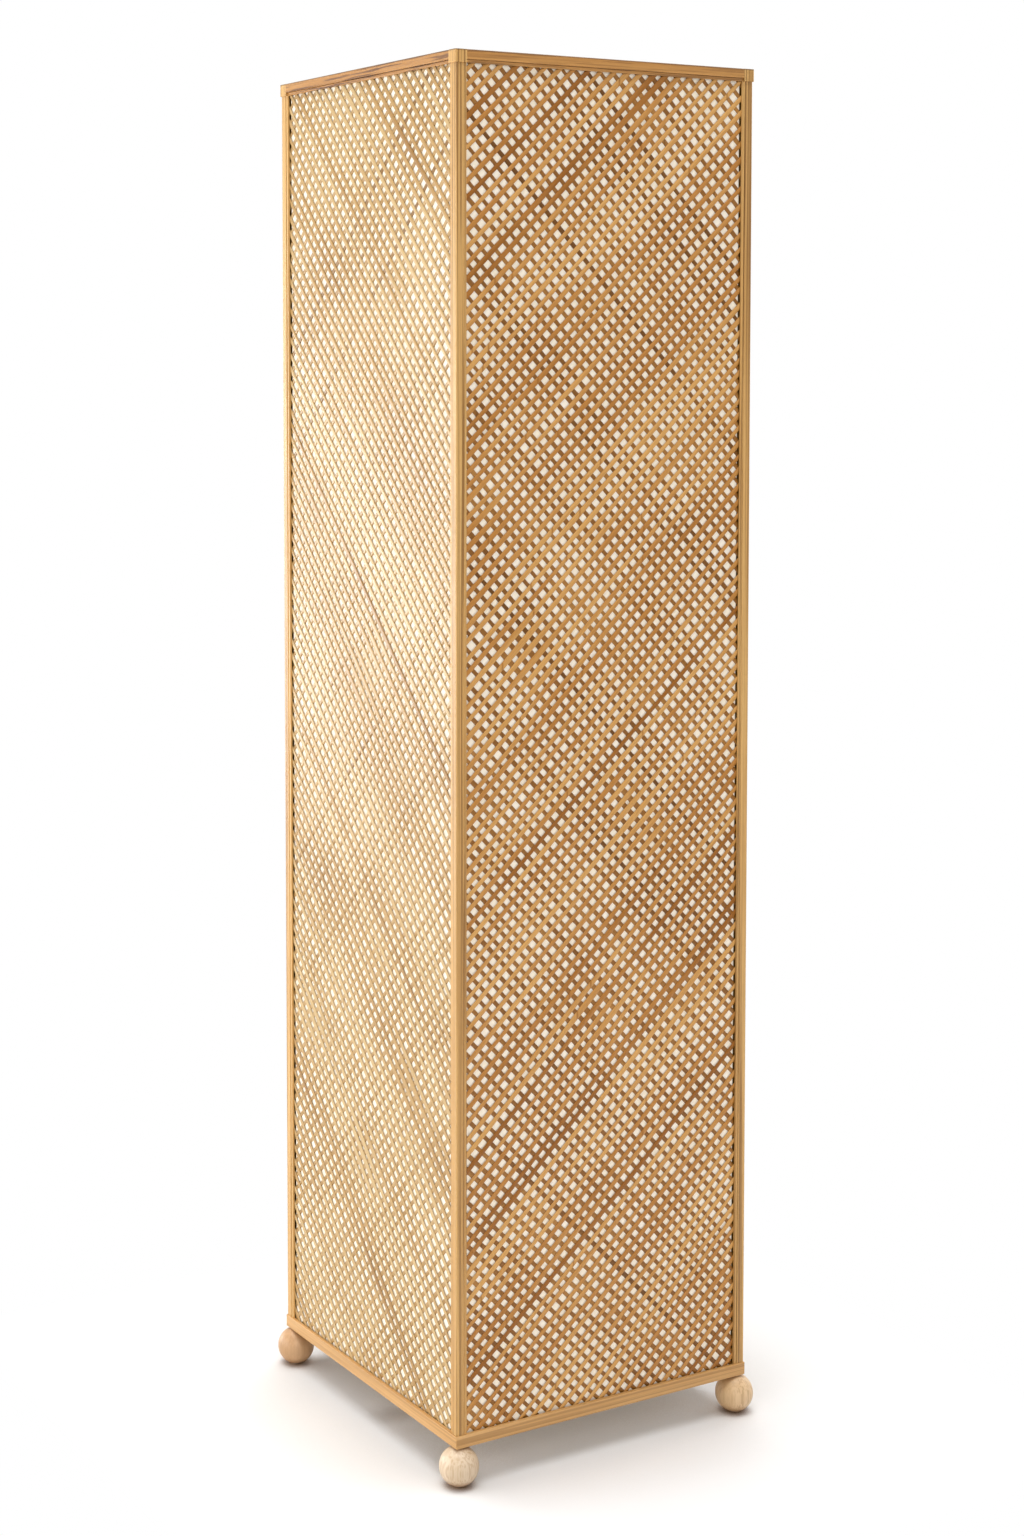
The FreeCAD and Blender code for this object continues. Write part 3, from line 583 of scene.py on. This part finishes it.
def make_feet():
    for corner, tones in BALL_WOODS.items():
        # each ball gets painted shade where the floor and the frame close it in
        make_foot(corner, wood(
            f"ball_wood_{corner}", 2, tones, streaks=0.6, fibres=0.14, lines=(620.0, 10.0),
            painted_shade=(BALL_SHADE_REACH, BALL_SHADE)))


# Finishes of the pieces that keep their solids' shape

def give(nodes, material):
    """The nodes take the material in place of their own."""
    for name in nodes:
        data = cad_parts[name].data
        data.materials.clear()
        data.materials.append(material)


def finish_frame():
    """Wood with its grain along each piece. The top rails are darker, and painted shade darkens the upper
    edge of the frame.
    """
    top_edge = high("top_rail_front").z
    upright = wood("frame_wood_upright", 2, POST_WOOD, streaks=1.3, lines=(640.0, 2.6), rim=top_edge)
    give([f"post_{corner}" for corner in CORNERS], upright)
    give([f"corner_block_{corner}" for corner in CORNERS], upright)
    give([f"{side}_bead_{hand}" for side in SIDES for hand in ("left", "right")], upright)
    for along, sides in ((0, ("front", "back")), (1, ("left", "right"))):
        level = wood(f"frame_wood_level_{along}", along, LEVEL_WOOD, streaks=0.8, lines=(800.0, 5.0))
        give([f"bottom_rail_{side}" for side in sides], level)
        top = wood(f"frame_wood_top_{along}", along, TOP_WOOD, streaks=1.5, lines=(560.0, 18.0), rim=top_edge)
        give([f"top_rail_{side}" for side in sides], top)
        give([f"{side}_bead_top" for side in sides], top)


def finish_inside():
    """The bar and dowels, the lampholder with its cord inlet, the bulb, the screws and the pads."""
    inner_wood = wood("inner_wood_finish", 0, INNER_WOOD)
    give(["lampholder_bar", "ring_dowels"], inner_wood)
    steel = plain_finish("zinc_plate", linear(196, 196, 198), linear(176, 177, 180), 60, 0.35, Metallic=1.0)
    give(["foot_screws", "bar_screws", "cord_inlet_tube", "cord_inlet_nut", "bulb_screw_cap"], steel)
    brass = plain_finish("bright_brass", linear(214, 180, 104), linear(196, 158, 84), 60, 0.3, Metallic=1.0)
    give(["lampholder_screw_shell", "lampholder_centre_contact", "bulb_end_contact"], brass)
    plastic = plain_finish("white_plastic", linear(236, 233, 226), linear(230, 226, 218), 40, 0.4)
    give(["lampholder_cap", "lampholder_sleeve"], plastic)
    ceramic = plain_finish("glazed_ceramic", linear(240, 238, 232), linear(234, 230, 222), 40, 0.15)
    give(["lampholder_insert"], ceramic)
    black_glass = plain_finish("black_glass", linear(24, 24, 26), linear(34, 33, 34), 80, 0.2)
    give(["bulb_insulator"], black_glass)
    opal_glass = plain_finish("opal_glass", linear(246, 245, 241), linear(240, 238, 232), 30, 0.12)
    give(["bulb_globe"], opal_glass)
    felt = plain_finish("pressed_felt", linear(168, 155, 138), linear(150, 138, 122), 400, 0.95, FELT_RELIEF)
    give(["foot_pads"], felt)


# Stage

FLOOR_REACH = 12.0
FLOOR_CELLS = 8
FLOOR_COLOUR = linear(243, 243, 243)
# the floor's painted shadow under and beside the lamp, grey and then brown, and how near it has to be for
# them
FLOOR_SHADE_GREY, SHADE_GREY_SHARES = linear(233, 232, 231), (0.04, 0.32)
FLOOR_SHADOW_BROWN, SHADOW_BROWN_SHARES = linear(168, 138, 110), (0.42, 0.88)
FLOOR_SHADE_REACH = 160 * MM
# how far from the middle of the lamp the floor starts and ends to run out into white
FLOOR_FADE = (185 * MM, 400 * MM)

WORLD_STRENGTH = 0.36
# each softbox: its place, what it points at, its size in metres and its power in watts
SOFTBOXES = {
    "overhead": ((0.0, 0.1, 3.4), (0, 0, 0.6), (3.0, 3.0), 130),
    "key": ((-2.8, 0.7, 0.9), (0, 0, 0.5), (2.2, 1.7), 35),
    "sheen": ((-1.9, 3.1, 0.5), (-0.15, 0, 0.4), (1.7, 1.0), 40),
    "fill": ((-1.3, -2.9, 1.8), (0, 0, 0.6), (1.4, 1.8), 25),
    "edge": ((2.9, 0.35, 1.3), (0, 0, 0.6), (0.8, 1.4), 14),
}


def floor_finish():
    """A pale floor that takes the shadow, with painted shadow in grey and brown where the lamp closes it in,
    and runs out into the white of the backdrop for the camera.
    """
    shader = Shader("floor_finish")
    spots = shader.split(shader.place())
    away = shader.math("MAXIMUM", shader.math("ABSOLUTE", spots[0]), shader.math("ABSOLUTE", spots[1]))
    white = shader.node("ShaderNodeEmission", None, Color=(1, 1, 1, 1), Strength=1.0)
    # painted shadow, grey and then brown where the lamp closes the floor in
    near = shader.nearness(FLOOR_SHADE_REACH)
    colour = shader.mix(shader.ramp(near, *SHADE_GREY_SHARES), FLOOR_COLOUR, FLOOR_SHADE_GREY)
    colour = shader.mix(shader.ramp(near, *SHADOW_BROWN_SHARES), colour, FLOOR_SHADOW_BROWN)
    shader.set(Base_Color=colour, Roughness=0.9, Specular_IOR_Level=0.1)
    seen = shader.node("ShaderNodeLightPath").outputs["Is Camera Ray"]
    blend = shader.node("ShaderNodeMixShader")
    shader.put(blend.inputs["Fac"], shader.math("MULTIPLY", seen, shader.ramp(away, *FLOOR_FADE)))
    shader.put(blend.inputs[1], shader.surface.outputs["BSDF"])
    shader.put(blend.inputs[2], white.outputs["Emission"])
    output = shader.tree.nodes["Material Output"]
    shader.put(output.inputs["Surface"], blend.outputs["Shader"])
    return shader.material


def make_floor():
    bm = bmesh.new()
    bmesh.ops.create_grid(bm, x_segments=FLOOR_CELLS, y_segments=FLOOR_CELLS, size=FLOOR_REACH)
    mesh = bpy.data.meshes.new("floor")
    bm.to_mesh(mesh)
    bm.free()
    floor = bpy.data.objects.new("floor", mesh)
    bpy.context.scene.collection.objects.link(floor)
    mesh.materials.append(floor_finish())


def make_world():
    """An even studio glow, which is full white where the camera or a reflection sees it."""
    world = bpy.data.worlds.new("studio")
    bpy.context.scene.world = world
    world.use_nodes = True
    tree = world.node_tree
    glow = tree.nodes["Background"]
    path = tree.nodes.new("ShaderNodeLightPath")
    seen = path.outputs["Is Camera Ray"]
    for kind in ("Is Glossy Ray", "Is Transmission Ray"):
        larger = tree.nodes.new("ShaderNodeMath")
        larger.operation = "MAXIMUM"
        tree.links.new(seen, larger.inputs[0])
        tree.links.new(path.outputs[kind], larger.inputs[1])
        seen = larger.outputs[0]
    level = tree.nodes.new("ShaderNodeMapRange")
    tree.links.new(seen, level.inputs["Value"])
    level.inputs["To Min"].default_value = WORLD_STRENGTH
    level.inputs["To Max"].default_value = 1.0
    tree.links.new(level.outputs["Result"], glow.inputs["Strength"])
    glow.inputs["Color"].default_value = (1, 1, 1, 1)


def make_softbox(name, place, aim, size, power):
    data = bpy.data.lights.new(name, "AREA")
    data.shape = "RECTANGLE"
    data.size, data.size_y = size
    data.energy = power
    light = bpy.data.objects.new(name, data)
    light.location = place
    light.rotation_euler = (Vector(aim) - Vector(place)).to_track_quat("-Z", "Y").to_euler()
    bpy.context.scene.collection.objects.link(light)


make_camera()
make_floor()
make_world()
for name, settings in SOFTBOXES.items():
    make_softbox(name, *settings)
make_lattices()
finish_frame()
give([f"{side}_liner" for side in SIDES], paper())
make_feet()
finish_inside()

bpy.context.scene.view_settings.view_transform = "Standard"
